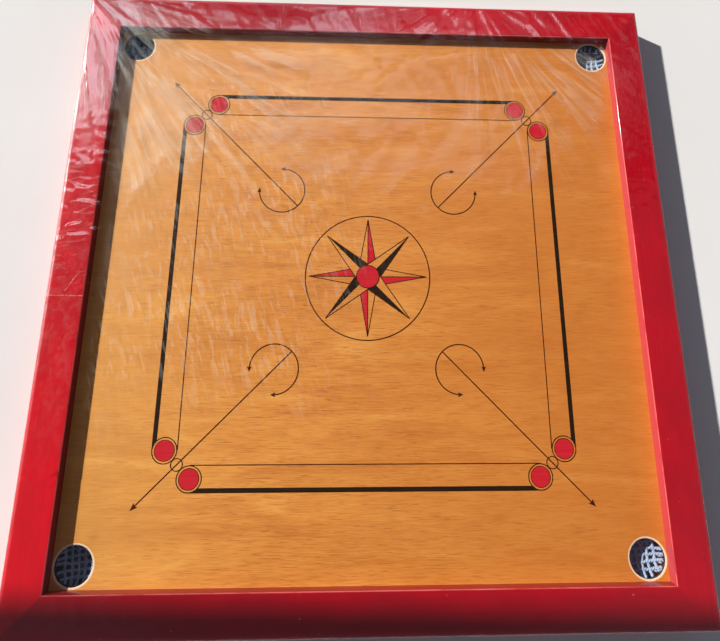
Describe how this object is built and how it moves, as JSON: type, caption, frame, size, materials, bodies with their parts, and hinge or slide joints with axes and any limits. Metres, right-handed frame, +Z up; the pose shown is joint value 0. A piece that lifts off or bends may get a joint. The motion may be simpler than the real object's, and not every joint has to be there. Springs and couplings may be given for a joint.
{
  "type": "carrom board",
  "caption": "Square wooden carrom board: mitred red frame, varnished panel with printed play lines, netted corner pockets, and the clear packing film over it.",
  "frame": {"origin": "centre of the board on the plane its frame stands on", "axes": "+Z up out of the playing surface, +X to the player's right, +Y away from the front rail"},
  "size_m": [0.8376, 0.8376, 0.0448],
  "materials": {
    "red_rail": "red stain under gloss lacquer",
    "varnished_ply": "amber varnish, satin",
    "pale_ply": "bare plywood",
    "batten_wood": "bare planed hardwood",
    "steel": "plain zinc-grey wire steel",
    "canvas": "woven tape",
    "net_cord": "twisted cotton cord",
    "black_ink": "printed line under varnish",
    "brown_ink": "printed line under varnish",
    "red_ink": "printed area under varnish",
    "clear_film": "clear wrinkled polythene"
  },
  "bodies": {
    "board": {"rail_front": "red_rail", "rail_right": "red_rail", "rail_back": "red_rail", "rail_left": "red_rail", "spline_front_right": "pale_ply", "spline_back_right": "pale_ply", "spline_back_left": "pale_ply", "spline_front_left": "pale_ply", "playing_panel": "varnished_ply", "panel_nails": "steel", "batten_front": "batten_wood", "batten_back": "batten_wood", "batten_left": "batten_wood", "batten_right": "batten_wood", "batten_screws": "steel", "hem_front_right": "canvas", "hem_back_right": "canvas", "hem_back_left": "canvas", "hem_front_left": "canvas", "net_front_right": "net_cord", "net_back_right": "net_cord", "net_back_left": "net_cord", "net_front_left": "net_cord", "net_tacks": "steel"},
    "film": {"packing_film": "clear_film"}
  },
  "joints": [
    {"name": "film_lift", "type": "slide", "parent": "board", "child": "film", "axis": [0, 0, 1], "range_m": [0, 0.07]}
  ]
}
